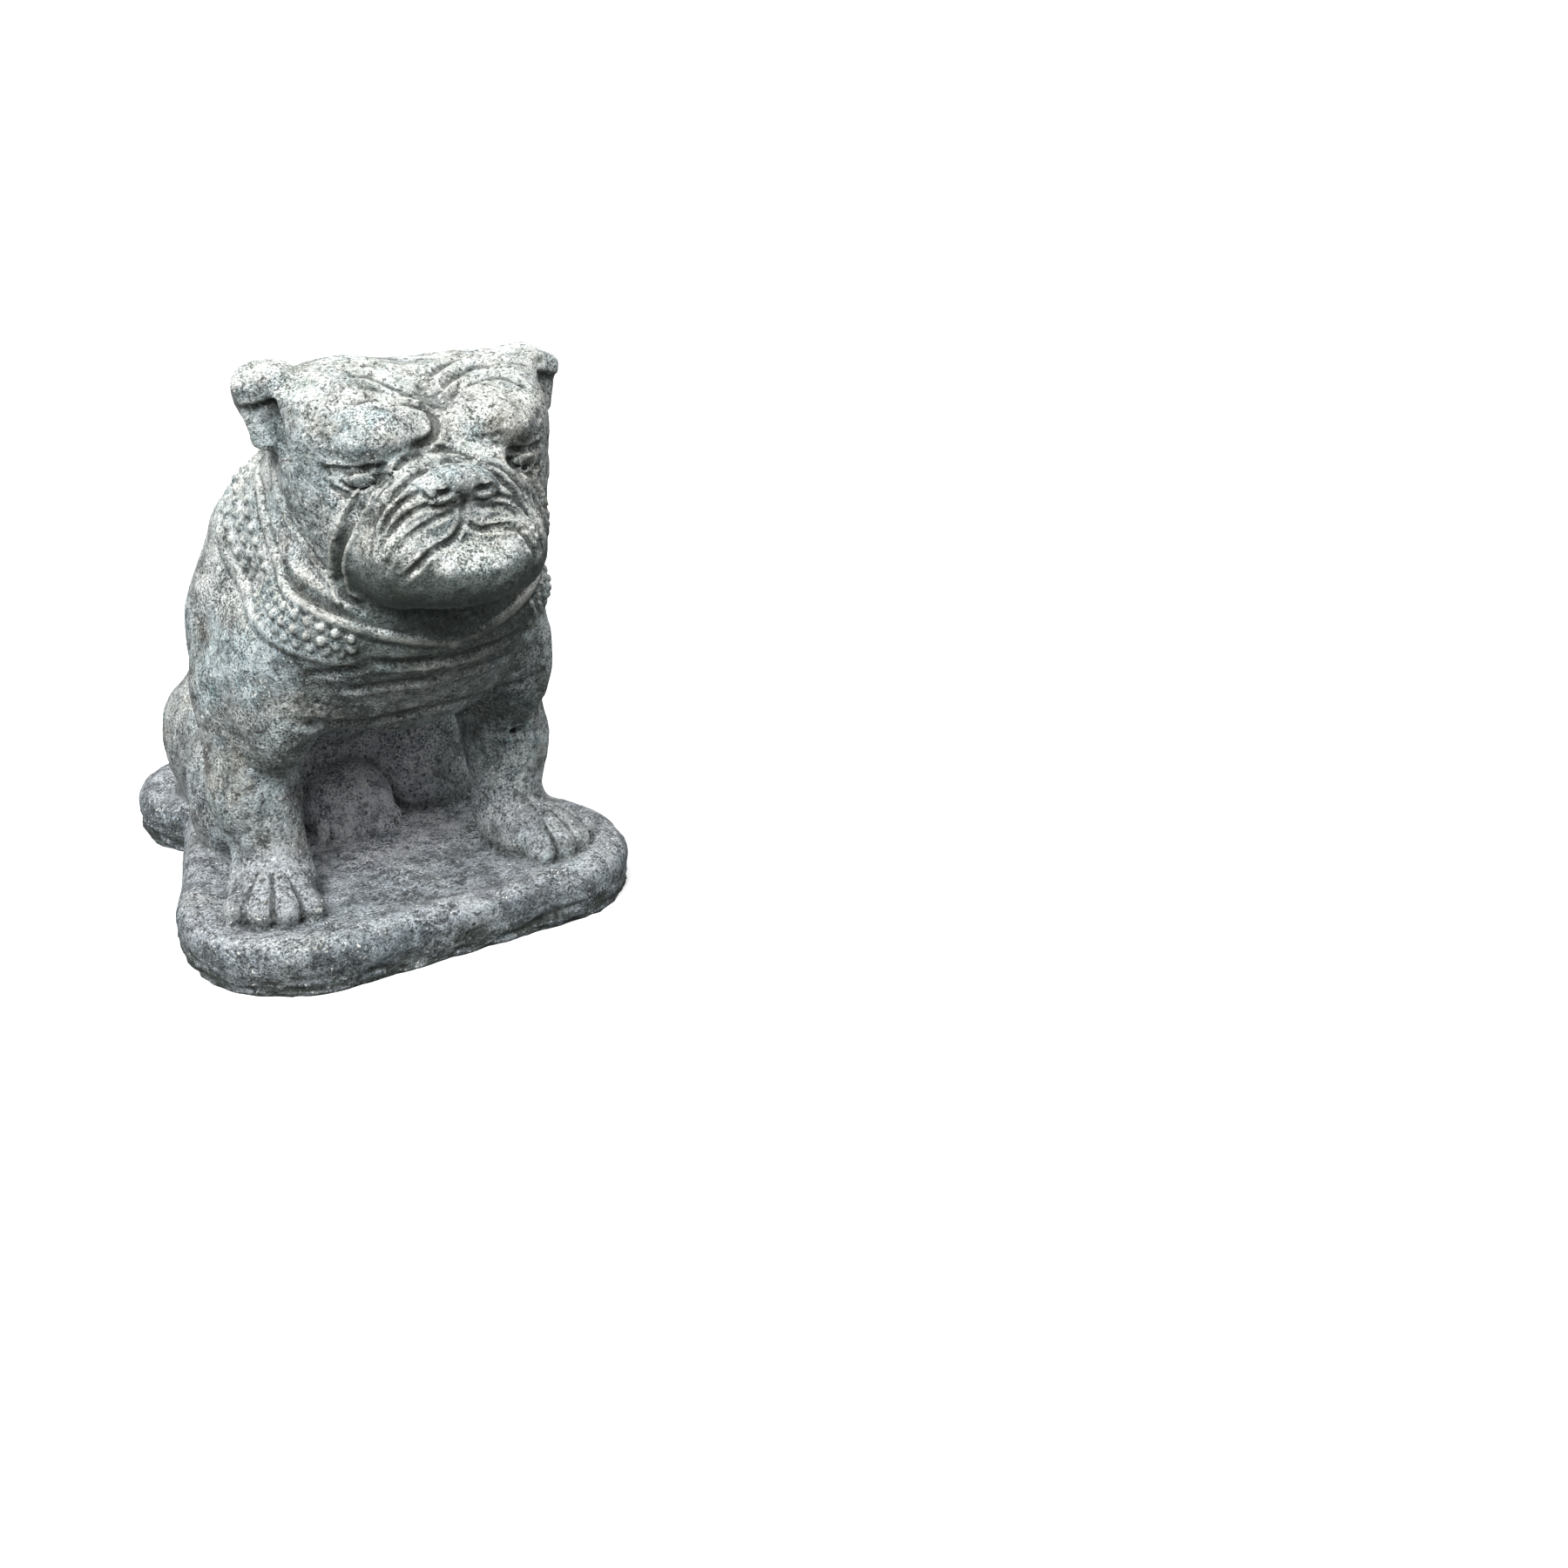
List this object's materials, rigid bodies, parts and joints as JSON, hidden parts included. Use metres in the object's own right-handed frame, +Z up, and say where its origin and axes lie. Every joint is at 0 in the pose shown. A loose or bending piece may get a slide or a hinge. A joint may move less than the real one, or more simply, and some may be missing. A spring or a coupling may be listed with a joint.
{
  "type": "garden statue",
  "caption": "Weathered cast-stone bulldog in a studded collar, sitting with a heavy folded face on a low base with rounded corners.",
  "frame": {"origin": "on the underside, below the middle of the whole statue's outline", "axes": "+Z up, the dog faces -Y, +X towards the dog's left"},
  "size_m": [0.3342, 0.4568, 0.4103],
  "materials": {
    "stone": "weathered, matt, stained by algae and lichen"
  },
  "bodies": {
    "root": {"bulldog_statue": "stone"}
  },
  "joints": []
}
